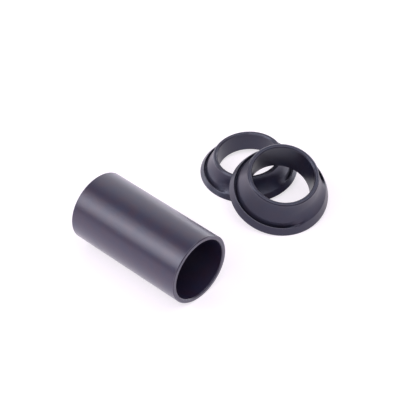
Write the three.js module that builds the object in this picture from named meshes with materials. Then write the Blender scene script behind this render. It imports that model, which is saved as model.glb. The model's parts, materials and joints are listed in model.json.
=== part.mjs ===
// Spacer set of a press-in bicycle bottom bracket, as it lies on a bench: a tube spacer on its side, a
// short cone spacer, and a tall cone spacer that leans on the short one. On the bicycle each of them slides
// over the crank spindle and bears on the inner race of a bearing. Millimetres, +Z up, the bench is z = 0.

import * as THREE from 'three';

// Sizes shared by all three spacers
const boreDiameter = 22.3;
const wall = 1.6;

// Tube spacer
const tubeLength = 48.5;
const tubeChamfer = 0.3;
const tubeSides = 96;

// Both cone spacers
const flangeDiameter = 35.6;
const flangeEdgeBreak = 0.25;
const bevelRun = 1.4;
const grooveWidth = 1.35;
const grooveFloorRound = 0.2;
const grooveInnerDraft = 0.6;
const grooveOuterDraft = 0.2;
const rimChamfer = 0.4;
const lipHeight = 0.45;
const footRise = 0.7;
const flankHollow = 1.3;

// The smooth land that breaks the groove, and the ramps at its two ends, which are part of its span
const landRamp = 34;
const landRise = 4.6;
const landHollow = 2.0;

// Each cone spacer's own heights, from the lip that bears on the bearing, its groove's depth and its land
const shortHeight = 8.1;
const shortFlangeTop = 2.35;
const shortGrooveDepth = 1.4;
const shortLandSpan = 135;
const tallHeight = 13.0;
const tallFlangeTop = 4.3;
const tallGrooveDepth = 2.2;
const tallLandSpan = 119;

// Layout on the bench. Headings are in degrees from +X towards +Y.
const seatClearance = 0.3;
const tubeToCones = 30.2;
const tubeEndPastCone = 32.35;
const shortTipHeading = -90;
const shortLandHeading = -40;
const tallStandoff = 3.15;
const tallHeading = -17.9;
const tallLeanHeading = -31.3;
const tallLandHeading = 15;

// Steps round a cone spacer, in degrees, and up its flank
const grooveStep = 4;
const landStep = 4;
const rampStep = 3;
const flankSteps = 6;
const rimSamples = 720;

// The race radius is the outside of the tube and of each cone spacer's lip and rim.
const boreRadius = boreDiameter / 2;
const raceRadius = boreRadius + wall;
const flangeRadius = flangeDiameter / 2;
const grooveOuterRadius = flangeRadius - bevelRun;
const grooveInnerRadius = grooveOuterRadius - grooveWidth;
const up = new THREE.Vector3(0, 0, 1);

const anodised = (color, roughness) => new THREE.MeshStandardMaterial({ color, roughness, metalness: 0.75 });

// A closed outline of the tube's wall, as radius and height, counter-clockwise.
function tubeOutline() {
  const half = tubeLength / 2;
  const corners = [
    [boreRadius + tubeChamfer, -half],
    [raceRadius - tubeChamfer, -half],
    [raceRadius, -half + tubeChamfer],
    [raceRadius, half - tubeChamfer],
    [raceRadius - tubeChamfer, half],
    [boreRadius + tubeChamfer, half],
    [boreRadius, half - tubeChamfer],
    [boreRadius, -half + tubeChamfer],
  ];
  const points = corners.map(([radius, height]) => new THREE.Vector2(radius, height));
  points.push(points[0].clone());
  return points;
}

function tubeSpacer() {
  const tube = new THREE.Mesh(new THREE.LatheGeometry(tubeOutline(), tubeSides), anodised(0x2a282e, 0.42));
  tube.name = 'tube_spacer';
  tube.rotation.z = -Math.PI / 2;
  return tube;
}

// Share of the way from the land, 0, to the full groove, 1, at an azimuth measured from the land's middle.
function grooveShare(azimuth, landSpan) {
  const turn = Math.abs(THREE.MathUtils.euclideanModulo(azimuth + 180, 360) - 180);
  return THREE.MathUtils.smoothstep(turn, landSpan / 2 - landRamp, landSpan / 2);
}

// The azimuths of a cone spacer's sections, close together on the ramps at the ends of the land.
function sectionAzimuths(landSpan) {
  const arcs = [
    [-landSpan / 2, landRamp, rampStep],
    [-landSpan / 2 + landRamp, landSpan - 2 * landRamp, landStep],
    [landSpan / 2 - landRamp, landRamp, rampStep],
    [landSpan / 2, 360 - landSpan, grooveStep],
  ];
  return arcs.flatMap(([start, span, step]) => {
    const count = Math.max(1, Math.round(span / step));
    return Array.from({ length: count }, (_, i) => start + (span * i) / count);
  });
}

// Radius of the turned flank at a share of its height, 0 at its foot over the groove and 1 at the rim.
function flankRadius(share) {
  return raceRadius + (grooveInnerRadius - raceRadius) * (1 - share) ** flankHollow;
}

// Radius of the land, which fills the groove and fades into the flank as it rises.
function landRadius(share, landLength) {
  const rise = Math.min(1, (share * landLength) / Math.min(landRise, landLength));
  return flankRadius(share) + (grooveOuterRadius - grooveInnerRadius) * (1 - rise) ** landHollow;
}

// One section through a cone spacer's wall, as radius and height, counter-clockwise. The lip's face is at 0.
function coneSection(azimuth, cone) {
  const { height, flangeTop, grooveDepth, landSpan } = cone;
  const groove = grooveShare(azimuth, landSpan);
  const flankTop = height - rimChamfer;
  const footTop = flangeTop + footRise;
  const landLength = flankTop - flangeTop;
  const floor = flangeTop - grooveDepth;
  const cut = [
    [grooveOuterRadius - grooveOuterDraft, floor + grooveFloorRound],
    [grooveOuterRadius - grooveOuterDraft - grooveFloorRound, floor],
    [grooveInnerRadius + grooveInnerDraft + grooveFloorRound, floor],
    [grooveInnerRadius + grooveInnerDraft, floor + grooveFloorRound],
  ];
  for (let i = 0; i < flankSteps; i += 1) {
    const share = i / flankSteps;
    cut.push([flankRadius(share), footTop + (flankTop - footTop) * share]);
  }
  const outer = cut.map(([radius, z], i) => {
    const share = (i + 1) / (cut.length + 1);
    const filled = [landRadius(share, landLength), flangeTop + landLength * share];
    return [
      THREE.MathUtils.lerp(filled[0], radius, groove),
      THREE.MathUtils.lerp(filled[1], z, groove),
    ];
  });
  return [
    [boreRadius + rimChamfer, 0],
    [raceRadius, 0],
    [raceRadius, lipHeight],
    [flangeRadius - flangeEdgeBreak, lipHeight],
    [flangeRadius, lipHeight + flangeEdgeBreak],
    [grooveOuterRadius, flangeTop],
    ...outer,
    [raceRadius, flankTop],
    [raceRadius - rimChamfer, height],
    [boreRadius + rimChamfer, height],
    [boreRadius, flankTop],
    [boreRadius, rimChamfer],
  ];
}

// Joins closed sections round the Z axis into one closed ring with its faces pointing out.
function ringGeometry(azimuths, sectionAt) {
  const positions = [];
  const indices = [];
  const sections = azimuths.map(sectionAt);
  const count = sections[0].length;
  sections.forEach((section, i) => {
    const angle = THREE.MathUtils.degToRad(azimuths[i]);
    for (const [radius, height] of section) {
      positions.push(radius * Math.cos(angle), radius * Math.sin(angle), height);
    }
  });
  for (let i = 0; i < sections.length; i += 1) {
    const here = i * count;
    const next = ((i + 1) % sections.length) * count;
    for (let j = 0; j < count; j += 1) {
      const k = (j + 1) % count;
      indices.push(here + j, next + j, next + k);
      indices.push(here + j, next + k, here + k);
    }
  }
  const geometry = new THREE.BufferGeometry();
  geometry.setAttribute('position', new THREE.Float32BufferAttribute(positions, 3));
  geometry.setIndex(indices);
  geometry.computeVertexNormals();
  return geometry;
}

function coneSpacer(name, cone) {
  const geometry = ringGeometry(sectionAzimuths(cone.landSpan), (azimuth) => coneSection(azimuth, cone));
  const spacer = new THREE.Mesh(geometry, anodised(0x29272d, 0.4));
  spacer.name = name;
  return spacer;
}

// Turns a cone spacer so that its land faces one heading, then tips its top towards another.
function tip(cone, angle, tipHeading, landHeading) {
  const heading = THREE.MathUtils.degToRad(tipHeading);
  const hinge = new THREE.Vector3(-Math.sin(heading), Math.cos(heading), 0);
  const spin = new THREE.Quaternion().setFromAxisAngle(up, THREE.MathUtils.degToRad(landHeading));
  cone.quaternion.setFromAxisAngle(hinge, angle).multiply(spin);
}

function standOnBench(mesh) {
  const box = new THREE.Box3().setFromObject(mesh, true);
  mesh.position.z -= box.min.z;
  mesh.updateMatrixWorld(true);
}

// Height of a cone spacer's underside over its lip's face, at a radius where it has one.
function undersideHeight(radius) {
  if (radius < boreRadius || radius > flangeRadius) {
    return Infinity;
  }
  if (radius < boreRadius + rimChamfer) {
    return boreRadius + rimChamfer - radius;
  }
  return radius < raceRadius ? 0 : lipHeight;
}

// Smallest gap from the short cone spacer's edges up to the tall one's underside.
function gapUnderTall(tall, short) {
  const edges = [
    [raceRadius - rimChamfer, shortHeight],
    [raceRadius, shortHeight - rimChamfer],
    [grooveOuterRadius, shortFlangeTop],
    [flangeRadius, lipHeight + flangeEdgeBreak],
  ];
  const point = new THREE.Vector3();
  let gap = Infinity;
  for (const [radius, height] of edges) {
    for (let i = 0; i < rimSamples; i += 1) {
      const angle = (2 * Math.PI * i) / rimSamples;
      point.set(radius * Math.cos(angle), radius * Math.sin(angle), height);
      tall.worldToLocal(short.localToWorld(point));
      gap = Math.min(gap, undersideHeight(Math.hypot(point.x, point.y)) - point.z);
    }
  }
  return gap;
}

// Leans the tall cone spacer as little as it takes for its underside to clear the short one.
function leanOn(tall, short) {
  let low = 0;
  let high = Math.PI / 3;
  while (high - low > 1e-6) {
    const angle = (low + high) / 2;
    tip(tall, angle, tallLeanHeading, tallLandHeading);
    standOnBench(tall);
    if (gapUnderTall(tall, short) < seatClearance) {
      low = angle;
    } else {
      high = angle;
    }
  }
}

function layOut() {
  const short = coneSpacer('short_cone_spacer', {
    height: shortHeight,
    flangeTop: shortFlangeTop,
    grooveDepth: shortGrooveDepth,
    landSpan: shortLandSpan,
  });
  const tall = coneSpacer('tall_cone_spacer', {
    height: tallHeight,
    flangeTop: tallFlangeTop,
    grooveDepth: tallGrooveDepth,
    landSpan: tallLandSpan,
  });
  const tube = tubeSpacer();

  // The short cone spacer is tipped off its lip until the flange meets the bench.
  const shortTip = Math.atan2(lipHeight, flangeRadius - flangeEdgeBreak - raceRadius);
  tip(short, shortTip, shortTipHeading, shortLandHeading);
  standOnBench(short);

  const heading = THREE.MathUtils.degToRad(tallHeading);
  const distance = flangeRadius + tallStandoff;
  tall.position.set(distance * Math.cos(heading), distance * Math.sin(heading), 0);
  leanOn(tall, short);

  tube.position.set(tubeEndPastCone - tubeLength / 2, -flangeRadius - tubeToCones - raceRadius, 0);
  standOnBench(tube);

  const set = new THREE.Group();
  set.add(tube, short, tall);
  return set;
}

// The origin is on the bench, under the middle of the whole set.
const set = layOut();
const middle = new THREE.Box3().setFromObject(set, true).getCenter(new THREE.Vector3());
set.position.set(-middle.x, -middle.y, 0);

const model = new THREE.Group();
model.add(set);

export default model;
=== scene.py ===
"""Satin black spacer set of a bicycle bottom bracket, lying on a white studio table."""

import json
import math
from types import SimpleNamespace

import bpy
import numpy as np
from mathutils import Matrix, Quaternion, Vector


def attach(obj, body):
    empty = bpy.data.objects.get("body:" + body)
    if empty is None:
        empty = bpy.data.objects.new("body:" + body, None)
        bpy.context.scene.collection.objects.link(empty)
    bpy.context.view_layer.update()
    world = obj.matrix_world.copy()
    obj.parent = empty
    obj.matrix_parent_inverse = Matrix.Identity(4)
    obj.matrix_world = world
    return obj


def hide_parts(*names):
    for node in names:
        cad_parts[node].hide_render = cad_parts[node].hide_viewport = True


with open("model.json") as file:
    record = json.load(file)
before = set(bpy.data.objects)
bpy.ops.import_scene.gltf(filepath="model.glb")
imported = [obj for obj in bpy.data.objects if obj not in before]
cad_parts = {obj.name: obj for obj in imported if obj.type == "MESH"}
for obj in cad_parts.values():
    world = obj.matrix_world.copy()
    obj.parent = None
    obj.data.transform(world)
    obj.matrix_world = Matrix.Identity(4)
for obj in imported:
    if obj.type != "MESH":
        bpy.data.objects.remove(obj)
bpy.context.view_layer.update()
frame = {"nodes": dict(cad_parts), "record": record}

MM = 0.001
UP = Vector((0, 0, 1))

# Sizes of the turned pieces, in millimetres and degrees. Heights, reaches and bores come from the frame.
WALL = 1.6
TUBE_CHAMFER = 0.3
RIM_CHAMFER = 0.4
LIP_HEIGHT = 0.45
EDGE_BREAK = 0.25
BEVEL_RUN = 1.4
GROOVE_WIDTH = 1.35
GROOVE_INNER_DRAFT = 0.6
GROOVE_OUTER_DRAFT = 0.2
FOOT_RISE = 0.7
FLANK_HOLLOW = 1.3
LAND_RAMP = 34
LAND_RISE = 4.6
LAND_HOLLOW = 2.0
SHORT_FLANGE_TOP = 2.35
SHORT_GROOVE_DEPTH = 1.4
SHORT_LAND_SPAN = 135
SHORT_LAND_HEADING = -40
TALL_FLANGE_TOP = 4.3
TALL_GROOVE_DEPTH = 2.2
TALL_LAND_SPAN = 119
TALL_LAND_HEADING = 15

# The radii of the rounds, in millimetres. A convex one up to the last of these counts as a pale edge, whose
# colour is wear and a painted highlight.
EDGE_ROUND = 0.1
LIP_ROUND = 0.18
GROOVE_FLOOR_ROUND = 0.2
FLANK_FOOT_ROUND = 0.8
LARGEST_WEAR_AND_HIGHLIGHT_ROUND = 0.2

# How finely the meshes follow their outlines, in millimetres and degrees. The support is how far beside an
# arc a point on the straight keeps the shading flat. The flank's first points are skipped, which leaves room
# for the round at its foot. The part of a section that changes starts at this share of the way up the bevel.
ARC_STEPS = 4
SUPPORT = 0.1
LONGEST_STEP = 0.3
FLANK_STEPS = 24
FOOT_SKIP = 2
BEVEL_START = 0.7
TUBE_SEGMENTS = 320
TUBE_RINGS = 24
AROUND_STEP = 1.25
RAMP_STEP = 0.5

# The two finishes. The tube's is satin, with metal showing through its dye, and the cones' a deeper black.
TUBE_FINISH = {
    "color": (0.026, 0.0185, 0.05), "roughness": 0.4, "metallic": 0.3, "specular": 0.5, "coat": 1.0,
}
CONE_FINISH = {
    "color": (0.012, 0.0102, 0.025), "roughness": 0.32, "metallic": 0, "specular": 0.7, "coat": 0,
}
COAT_ROUGHNESS = 0.3
SPECULAR_TINT = (0.74, 0.77, 1, 1)

# Uneven dye: the noise's scale in steps a metre, its detail and its range, and what the colour is
# multiplied by at the two ends of the range
DYE_SCALE = 260.0
DYE_DETAIL = 4.0
DYE_LOW = 0.3
DYE_HIGH = 0.7
DYE_WARM = (1.35, 0.95, 0.88)
DYE_COOL = (0.75, 1.0, 1.1)

# How the roughness varies with the dye, and how the edges and the groove differ from the rest: the edges are
# smoother, and paler by wear and a painted highlight. The groove is fully rougher from this many millimetres
# inside its mouth.
ROUGHNESS_SPREAD = 0.03
EDGE_SMOOTHER = 0.08
EDGE_WEAR_AND_HIGHLIGHT_COLOR = (0.12, 0.11, 0.14, 1)
EDGE_WEAR_AND_HIGHLIGHT = 0.55
GROOVE_ROUGHER = 0.35
MOUTH_FADE = 0.4

# Turning marks and blasted grain, with widths and depths in millimetres and scales in steps a metre. Round
# the axis the marks change slowly, by this many steps a radian.
MARK_WIDTH = 0.14
MARKS_ROUND = 2.5
MARK_DETAIL = 2.0
MARK_DEPTH = 0.0008
GRAIN_SCALE = 9000.0
GRAIN_DETAIL = 2.0
GRAIN_DEPTH = 0.001

# The sockets of a Mix node that mixes colours, by number
MIX_FACTOR = 0
MIX_A = 6
MIX_B = 7
MIX_RESULT = 2

# The camera, with lengths in millimetres, angles in degrees and how far it sees in metres
CAMERA_TARGET = (-12.16, 4.38, 0)
CAMERA_AZIMUTH = 43.18
CAMERA_ELEVATION = 40.27
CAMERA_DISTANCE = 592.6
CAMERA_LENS = 147.78
CAMERA_SENSOR = 36
CAMERA_REACH = 20

WHITE = (1, 1, 1, 1)

# The table: its size in metres, how far it lies under the bench's plane in millimetres, so that nothing
# touches it, its colour as a light and as it is seen, and its glow
TABLE_SIZE = 14
TABLE_CELLS = 4
TABLE_DROP = 0.01
TABLE_COLOR = (0.8, 0.79, 0.8, 1)
TABLE_SEEN_COLOR = (0.5, 0.42, 0.52, 1)
TABLE_GLOW = 0.64

# The brightness of the room, and the softboxes, all at one distance in metres. Each has a name, a heading,
# elevation, width and height in degrees as the object sees it, and a radiance.
ROOM_LIGHT = 0.25
SOFTBOX_DISTANCE = 2.5
SOFTBOXES = (
    ("key", -124, 30, 18, 28, 3.5),
    ("key_skirt", -100, 48, 62, 32, 2.4),
    ("overhead", 4, 69, 50, 42, 2.05),
    ("back", 142, 27, 51, 54, 0.93),
    ("right", 90, 9, 60, 18, 2.8),
    ("low_left", -168, 5.5, 56, 11, 3.4),
)


def unit(v):
    return v / np.linalg.norm(v)


def corner_arc(before, here, after, radius):
    """The rows of an outline that turn one corner on an arc, with a support on each side of it."""
    into = unit(here - before)
    out = unit(after - here)
    turn = math.acos(float(np.clip(into @ out, -1, 1)))
    side = 1 if into[0] * out[1] - into[1] * out[0] > 0 else -1
    reach = radius * math.tan(turn / 2)
    spoke = side * radius * np.array((into[1], -into[0]))
    centre = here - into * reach - spoke
    # An edge round gets a pale mark, which is wear and a painted highlight.
    wear_and_highlight = 1 if side > 0 and radius <= LARGEST_WEAR_AND_HIGHLIGHT_ROUND else 0
    rows = [(*(here - into * (reach + SUPPORT)), 0, 0)]
    for step in range(ARC_STEPS + 1):
        angle = side * turn * step / ARC_STEPS
        c, s = math.cos(angle), math.sin(angle)
        arm = (c * spoke[0] - s * spoke[1], s * spoke[0] + c * spoke[1])
        rows.append((*(centre + arm), wear_and_highlight, 0))
    rows.append((*(here + out * (reach + SUPPORT)), 0, 0))
    return rows


def rounded(corners, closed=True):
    """An outline through corners (x, y, radius), with an arc at each of them that has a radius.

    Its rows are x, y, 1 on a pale edge, whose colour is wear and a painted highlight, or else 0, and 0,
    which grooved_outline sets inside the groove.
    """
    places = np.array([corner[:2] for corner in corners], float)
    count = len(corners)
    rows = []
    for i, (here, corner) in enumerate(zip(places, corners)):
        radius = corner[2]
        if radius and (closed or 0 < i < count - 1):
            rows += corner_arc(places[i - 1], here, places[(i + 1) % count], radius)
        else:
            rows.append((*here, 0, 0))
    return np.array(rows)


def travelled(points):
    """How far along an open line each of its points lies."""
    steps = np.linalg.norm(np.diff(points[:, :2], axis=0), axis=1)
    return np.concatenate([[0], np.cumsum(steps)])


def at_stations(points, stations):
    """Points of an open line at given distances along it."""
    along = travelled(points)
    return np.stack([np.interp(stations, along, column) for column in points.T], axis=1)


def nearest(points, place):
    """The number of the point that lies nearest to a place."""
    return int(np.argmin(np.linalg.norm(points[:, :2] - place, axis=1)))


def subdivided(points, longest):
    """The same open line with its long straight parts split."""
    along = travelled(points)
    stations = [along[:1]]
    for near, far in zip(along, along[1:]):
        count = max(1, math.ceil((far - near) / longest))
        stations.append(np.linspace(near, far, count + 1)[1:])
    return at_stations(points, np.concatenate(stations))


def ring_mesh(name, azimuths, section_at):
    """A closed ring about Z through one closed section at each azimuth.

    Each point carries its share of the pale edge, which is wear and a painted highlight, its share of the
    groove's finish, and its place before set_down.
    """
    sections = np.array([section_at(azimuth) for azimuth in azimuths])
    rings, count = sections.shape[:2]
    radius, height, wear_and_highlight, groove = np.moveaxis(sections, 2, 0)
    turn = np.radians(azimuths)[:, None]
    points = np.stack([radius * np.cos(turn), radius * np.sin(turn), height], axis=2) * MM
    i, j = np.meshgrid(np.arange(rings), np.arange(count), indexing="ij")
    here, ahead = i * count, (i + 1) % rings * count
    above = (j + 1) % count
    faces = np.stack([here + j, ahead + j, ahead + above, here + above], axis=2)
    mesh = bpy.data.meshes.new(name)
    mesh.from_pydata(points.reshape(-1, 3).tolist(), [], faces.reshape(-1, 4).tolist())
    mesh.polygons.foreach_set("use_smooth", np.ones(len(mesh.polygons), bool))
    for key, kind, field, values in (
        ("edge", "FLOAT", "value", wear_and_highlight),
        ("groove", "FLOAT", "value", groove),
        ("turned", "FLOAT_VECTOR", "vector", points),
    ):
        carried = mesh.attributes.new(key, kind, "POINT")
        carried.data.foreach_set(field, values.ravel().astype(np.float32))
    mesh.update()
    return mesh


def measured(node, axis):
    """A turned CAD node's foot, in metres, and its height, reach and bore, in millimetres.

    The foot is the middle of its end face that lies lowest along the axis.
    """
    points = np.array([v.co for v in frame["nodes"][node].data.vertices], float)
    axis = np.array(axis, float)
    lying = abs(axis[2]) < np.abs(axis[:2]).max()
    side = unit(np.cross(axis, (0, 0, 1) if lying else (0, 1, 0)))
    other = np.cross(axis, side)
    along = points @ axis
    middle = [((points @ d).max() + (points @ d).min()) / 2 for d in (side, other)]
    foot = middle[0] * side + middle[1] * other + along.min() * axis
    radial = np.hypot(points @ side - middle[0], points @ other - middle[1])
    return Vector(foot), np.ptp(along) / MM, radial.max() / MM, radial.min() / MM


def set_down(mesh, foot, axis, heading, body, node, material):
    """Stands a turned mesh on its foot, along its axis, in place of its CAD node."""
    lean = UP.rotation_difference(Vector(axis))
    spin = Quaternion(UP, math.radians(heading))
    mesh.transform(Matrix.LocRotScale(foot, lean @ spin, None))
    mesh.materials.append(material)
    piece = bpy.data.objects.new(mesh.name, mesh)
    bpy.context.scene.collection.objects.link(piece)
    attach(piece, body)
    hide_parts(node)


def tube_section(bore, race, length):
    """The closed section of the tube's wall with its chamfers, and with rings along its two long faces."""
    c = TUBE_CHAMFER
    corners = [
        (bore + c, 0), (race - c, 0), (race, c), (race, length - c),
        (race - c, length), (bore + c, length), (bore, length - c), (bore, c),
    ]
    outline = rounded([(x, y, EDGE_ROUND) for x, y in corners])
    filled = []
    for here, ahead in zip(outline, np.roll(outline, -1, axis=0)):
        filled.append(here)
        if abs(ahead[1] - here[1]) > length / 2:
            filled += [here + (ahead - here) * k / TUBE_RINGS for k in range(1, TUBE_RINGS)]
    return np.array(filled)


def cone_sizes(bore, flange, height, flange_top, groove_depth):
    """A cone spacer's radii and heights, in millimetres, with the lip's face at 0."""
    groove_outer = flange - BEVEL_RUN
    return SimpleNamespace(
        bore=bore,
        race=bore + WALL,
        flange=flange,
        groove_outer=groove_outer,
        groove_inner=groove_outer - GROOVE_WIDTH,
        bevel_foot=LIP_HEIGHT + EDGE_BREAK,
        floor=flange_top - groove_depth,
        flange_top=flange_top,
        foot_top=flange_top + FOOT_RISE,
        flank_top=height - RIM_CHAMFER,
        height=height,
    )


def flank_and_land(cone):
    """The turned flank and the land that fills the groove and fades into it, as radii and heights."""
    length = cone.flank_top - cone.flange_top
    shares = np.linspace(0, 1 - 2 * EDGE_ROUND / length, FLANK_STEPS)
    flank = cone.race + (cone.groove_inner - cone.race) * (1 - shares) ** FLANK_HOLLOW
    flank_heights = cone.foot_top + (cone.flank_top - cone.foot_top) * shares
    rise = np.minimum(1, shares * length / min(LAND_RISE, length))
    land = flank + GROOVE_WIDTH * (1 - rise) ** LAND_HOLLOW
    land_heights = cone.flange_top + length * shares
    return np.stack([flank, flank_heights], axis=1), np.stack([land, land_heights], axis=1)


def grooved_outline(cone, start, flank):
    """The outline from the bevel through the groove and up the flank, with its depth in the groove."""
    outer_lip = (cone.groove_outer, cone.flange_top)
    inner_lip = (cone.groove_inner, cone.foot_top)
    corners = [
        start,
        (*outer_lip, LIP_ROUND),
        (cone.groove_outer - GROOVE_OUTER_DRAFT, cone.floor, GROOVE_FLOOR_ROUND),
        (cone.groove_inner + GROOVE_INNER_DRAFT, cone.floor, GROOVE_FLOOR_ROUND),
        (*inner_lip, FLANK_FOOT_ROUND),
        *((r, z, 0) for r, z in flank[FOOT_SKIP:]),
    ]
    outline = subdivided(rounded(corners, closed=False), LONGEST_STEP)
    stations = travelled(outline)
    outer_mouth, inner_mouth = (stations[nearest(outline, lip)] for lip in (outer_lip, inner_lip))
    inside = np.minimum(stations - outer_mouth, inner_mouth - stations)
    outline[:, 3] = np.clip(inside / MOUTH_FADE, 0, 1)
    return outline


def landed_outline(start, land, grooved):
    """The outline from the bevel up the land, with as many points as the grooved one, spaced as they are."""
    outline = rounded([start, *((r, z, 0) for r, z in land)], closed=False)
    stations = travelled(grooved)
    return at_stations(outline, stations * travelled(outline)[-1] / stations[-1])


def shared_outline(cone, start, flank_end):
    """The outline that is the same all round: the rim, the bore, the lip, the underside and the bevel."""
    corners = [
        (cone.race, cone.flank_top),
        (cone.race - RIM_CHAMFER, cone.height),
        (cone.bore + RIM_CHAMFER, cone.height),
        (cone.bore, cone.flank_top),
        (cone.bore, RIM_CHAMFER),
        (cone.bore + RIM_CHAMFER, 0),
        (cone.race, 0),
        (cone.race, LIP_HEIGHT),
        (cone.flange - EDGE_BREAK, LIP_HEIGHT),
        (cone.flange, cone.bevel_foot),
    ]
    return rounded([(*flank_end, 0), *((r, z, EDGE_ROUND) for r, z in corners), start], closed=False)


def groove_share(azimuth, land_span):
    """0 on the land and 1 where the groove is full, at an azimuth measured from the land's middle."""
    turn = abs((azimuth + 180) % 360 - 180)
    t = min(1, max(0, (turn - land_span / 2 + LAND_RAMP) / LAND_RAMP))
    return t * t * (3 - 2 * t)


def cone_section_at(cone, land_span):
    """A function that gives the closed section of a cone spacer's wall at an azimuth."""
    bevel_height = cone.flange_top - cone.bevel_foot
    start = (cone.flange - BEVEL_START * BEVEL_RUN, cone.bevel_foot + BEVEL_START * bevel_height, 0)
    flank, land = flank_and_land(cone)
    grooved = grooved_outline(cone, start, flank)
    landed = landed_outline(start, land, grooved)
    shared = shared_outline(cone, start, flank[-1])[1:-1]

    def section(azimuth):
        outer = landed + (grooved - landed) * groove_share(azimuth, land_span)
        return np.concatenate([outer, shared])

    return section


def cone_azimuths(land_span):
    """The azimuths of a cone spacer's sections, close together on the ramps at the ends of the land."""
    half = land_span / 2
    arcs = [
        (-half, -half + LAND_RAMP, RAMP_STEP),
        (-half + LAND_RAMP, half - LAND_RAMP, AROUND_STEP),
        (half - LAND_RAMP, half, RAMP_STEP),
        (half, 360 - half, AROUND_STEP),
    ]
    return np.concatenate([
        np.linspace(a, b, round((b - a) / step), endpoint=False) for a, b, step in arcs
    ])


def shader(tree, kind, inputs=(), **settings):
    """A shader node with its settings, and with its inputs set or linked by name or number."""
    made = tree.nodes.new("ShaderNode" + kind)
    for key, value in settings.items():
        setattr(made, key, value)
    for key, value in dict(inputs).items():
        if isinstance(value, bpy.types.NodeSocket):
            tree.links.new(value, made.inputs[key])
        else:
            made.inputs[key].default_value = value
    return made


def maths(tree, operation, *values):
    """The result of an operation on numbers or sockets."""
    return shader(tree, "Math", enumerate(values), operation=operation).outputs[0]


def noise(tree, place, scale, detail):
    """Noise from 0 to 1 at a place, with its scale in steps a metre."""
    return shader(tree, "TexNoise", {"Vector": place, "Scale": scale, "Detail": detail}).outputs["Fac"]


def new_tree(owner):
    """The emptied shader tree of a material or a world."""
    owner.use_nodes = True
    owner.node_tree.nodes.clear()
    return owner.node_tree


def turning_marks(tree, place):
    """Noise in fine lines round the axis, fast along the radius and the height and slow round the axis."""
    across = shader(tree, "VectorMath", {0: place, 1: (1, 1, 0)}, operation="MULTIPLY").outputs[0]
    radius = shader(tree, "VectorMath", {0: across}, operation="LENGTH").outputs["Value"]
    heading = shader(tree, "VectorMath", {0: across}, operation="NORMALIZE").outputs[0]
    around = shader(tree, "SeparateXYZ", {0: heading}).outputs
    height = shader(tree, "SeparateXYZ", {0: place}).outputs["Z"]
    spot = shader(tree, "CombineXYZ", {
        0: maths(tree, "MULTIPLY", radius, 1 / (MARK_WIDTH * MM)),
        1: maths(tree, "MULTIPLY", height, 1 / (MARK_WIDTH * MM)),
        2: maths(tree, "MULTIPLY", around["X"], MARKS_ROUND),
    }).outputs[0]
    return shader(tree, "TexNoise", {
        "Vector": spot, "W": maths(tree, "MULTIPLY", around["Y"], MARKS_ROUND),
        "Scale": 1.0, "Detail": MARK_DETAIL,
    }, noise_dimensions="4D").outputs["Fac"]


def fine_bumps(tree, place):
    """The normal with the turning marks and the blasted grain over them."""
    marks = turning_marks(tree, place)
    turned = shader(tree, "Bump", {"Strength": 1.0, "Distance": MARK_DEPTH * MM, "Height": marks}).outputs[0]
    grain = noise(tree, place, GRAIN_SCALE, GRAIN_DETAIL)
    return shader(tree, "Bump", {
        "Strength": 1.0, "Distance": GRAIN_DEPTH * MM, "Height": grain, "Normal": turned,
    }).outputs[0]


def dyed_color(tree, dye, edge, color):
    """The dye's uneven colour, with paler metal at the edges, which is wear and a painted highlight along
    them.
    """
    ramp = shader(tree, "ValToRGB", {0: dye})
    low, high = ramp.color_ramp.elements
    low.position = DYE_LOW
    low.color = (*np.multiply(color, DYE_WARM), 1)
    high.position = DYE_HIGH
    high.color = (*np.multiply(color, DYE_COOL), 1)
    return shader(tree, "Mix", {
        MIX_FACTOR: maths(tree, "MULTIPLY", edge, EDGE_WEAR_AND_HIGHLIGHT),
        MIX_A: ramp.outputs["Color"],
        MIX_B: EDGE_WEAR_AND_HIGHLIGHT_COLOR,
    }, data_type="RGBA").outputs[MIX_RESULT]


def uneven_roughness(tree, dye, edge, roughness):
    """The roughness, which varies with the dye and is less at the pale edges and more inside the groove."""
    uneven = shader(tree, "MapRange", {
        "Value": dye, "From Min": DYE_LOW, "From Max": DYE_HIGH,
        "To Min": roughness - ROUGHNESS_SPREAD, "To Max": roughness + ROUGHNESS_SPREAD,
    }).outputs["Result"]
    rubbed = maths(tree, "MULTIPLY_ADD", edge, -EDGE_SMOOTHER, uneven)
    groove = shader(tree, "Attribute", attribute_name="groove").outputs["Fac"]
    return maths(tree, "MULTIPLY_ADD", groove, GROOVE_ROUGHER, rubbed)


def anodised(name, color, roughness, metallic, specular, coat):
    """Black anodised aluminium with faint turning marks, uneven dye, and paler broken edges whose colour is
    wear and a painted highlight.
    """
    material = bpy.data.materials.new(name)
    tree = new_tree(material)
    place = shader(tree, "Attribute", attribute_name="turned").outputs["Vector"]
    edge = shader(tree, "Attribute", attribute_name="edge").outputs["Fac"]
    dye = noise(tree, place, DYE_SCALE, DYE_DETAIL)
    bumps = fine_bumps(tree, place)
    surface = shader(tree, "BsdfPrincipled", {
        "Base Color": dyed_color(tree, dye, edge, color),
        "Metallic": metallic,
        "Roughness": uneven_roughness(tree, dye, edge, roughness),
        "Normal": bumps,
        "Specular IOR Level": specular,
        "Specular Tint": SPECULAR_TINT,
        "Coat Weight": coat,
        "Coat Roughness": COAT_ROUGHNESS,
        "Coat Normal": bumps,
    }).outputs[0]
    shader(tree, "OutputMaterial", {"Surface": surface})
    return material


def seen(tree):
    """1 for what the camera sees, straight, mirrored or through glass, and 0 for the light on the object."""
    path = shader(tree, "LightPath").outputs
    direct = maths(tree, "MAXIMUM", path["Is Camera Ray"], path["Is Glossy Ray"])
    return maths(tree, "MAXIMUM", direct, path["Is Transmission Ray"])


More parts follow.
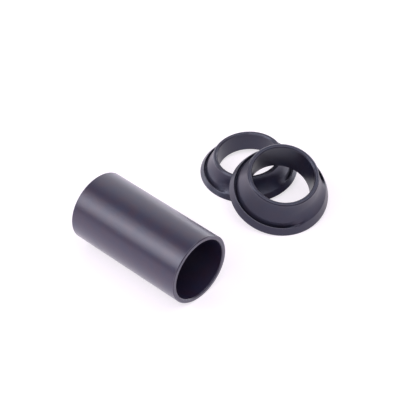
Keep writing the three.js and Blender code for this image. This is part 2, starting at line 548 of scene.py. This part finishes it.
def table():
    """The white table, which glows where it is seen, but not as a light on the object."""
    material = bpy.data.materials.new("white_table")
    tree = new_tree(material)
    matte = shader(tree, "BsdfDiffuse", {"Color": TABLE_COLOR}).outputs[0]
    lit = shader(tree, "BsdfDiffuse", {"Color": TABLE_SEEN_COLOR}).outputs[0]
    glow = shader(tree, "Emission", {"Color": WHITE, "Strength": TABLE_GLOW}).outputs[0]
    bright = shader(tree, "AddShader", {0: lit, 1: glow}).outputs[0]
    surface = shader(tree, "MixShader", {0: seen(tree), 1: matte, 2: bright}).outputs[0]
    shader(tree, "OutputMaterial", {"Surface": surface})
    bpy.ops.mesh.primitive_grid_add(
        x_subdivisions=TABLE_CELLS, y_subdivisions=TABLE_CELLS,
        size=TABLE_SIZE, location=(0, 0, -TABLE_DROP * MM),
    )
    floor = bpy.context.object
    floor.name = "table"
    floor.data.materials.append(material)


def room():
    """Dim white light from all round."""
    world = bpy.data.worlds.new("room")
    bpy.context.scene.world = world
    tree = new_tree(world)
    sky = shader(tree, "Background", {"Color": WHITE, "Strength": ROOM_LIGHT}).outputs[0]
    shader(tree, "OutputWorld", {"Surface": sky})


def softbox(name, heading, elevation, wide, high, radiance):
    """A rectangular lamp that faces the object, from its direction and apparent size in degrees."""
    width, height = (2 * SOFTBOX_DISTANCE * math.tan(math.radians(span / 2)) for span in (wide, high))
    data = bpy.data.lights.new(name, "AREA")
    data.shape = "RECTANGLE"
    data.size = width
    data.size_y = height
    data.energy = radiance * math.pi * width * height
    h, e = math.radians(heading), math.radians(elevation)
    way = Vector((math.cos(h) * math.cos(e), math.sin(h) * math.cos(e), math.sin(e)))
    box = bpy.data.objects.new(name, data)
    bpy.context.scene.collection.objects.link(box)
    box.location = way * SOFTBOX_DISTANCE
    box.rotation_mode = "QUATERNION"
    box.rotation_quaternion = way.to_track_quat("Z", "Y")


def camera():
    """The camera at the photograph's place. Its azimuth goes from -Y towards +X."""
    data = bpy.data.cameras.new("camera")
    data.lens = CAMERA_LENS
    data.sensor_width = CAMERA_SENSOR
    data.clip_end = CAMERA_REACH
    eye = bpy.data.objects.new("camera", data)
    bpy.context.scene.collection.objects.link(eye)
    a, e = math.radians(CAMERA_AZIMUTH), math.radians(CAMERA_ELEVATION)
    back = Vector((math.sin(a) * math.cos(e), -math.cos(a) * math.cos(e), math.sin(e)))
    eye.location = (Vector(CAMERA_TARGET) + back * CAMERA_DISTANCE) * MM
    eye.rotation_mode = "QUATERNION"
    eye.rotation_quaternion = (-back).to_track_quat("-Z", "Y")
    bpy.context.scene.camera = eye


def tube_spacer(axis):
    """The tube, along the axis of its near end."""
    foot, length, race, bore = measured("tube_spacer", axis)
    outline = tube_section(bore, race, length)
    around = np.arange(TUBE_SEGMENTS) * 360 / TUBE_SEGMENTS
    mesh = ring_mesh("tube", around, lambda azimuth: outline)
    finish = anodised("anodised_tube", **TUBE_FINISH)
    set_down(mesh, foot, axis, 0, "tube", "tube_spacer", finish)


def cone_spacers(axes):
    """The short cone and the tall one, along the axes of their rims."""
    finish = anodised("anodised_cone", **CONE_FINISH)
    cones = (
        ("short_cone", SHORT_FLANGE_TOP, SHORT_GROOVE_DEPTH, SHORT_LAND_SPAN, SHORT_LAND_HEADING),
        ("tall_cone", TALL_FLANGE_TOP, TALL_GROOVE_DEPTH, TALL_LAND_SPAN, TALL_LAND_HEADING),
    )
    for name, flange_top, groove_depth, land_span, land_heading in cones:
        axis = axes[name + "_rim"]
        foot, height, flange, bore = measured(name + "_spacer", axis)
        cone = cone_sizes(bore, flange, height, flange_top, groove_depth)
        mesh = ring_mesh(name, cone_azimuths(land_span), cone_section_at(cone, land_span))
        set_down(mesh, foot, axis, land_heading, name, name + "_spacer", finish)


mount_axes = {mount["name"]: mount["axis"] for mount in frame["record"]["mounts"]}
tube_spacer(mount_axes["tube_near_end"])
cone_spacers(mount_axes)
table()
room()
for lamp in SOFTBOXES:
    softbox(*lamp)
camera()
bpy.context.scene.view_settings.view_transform = "Standard"
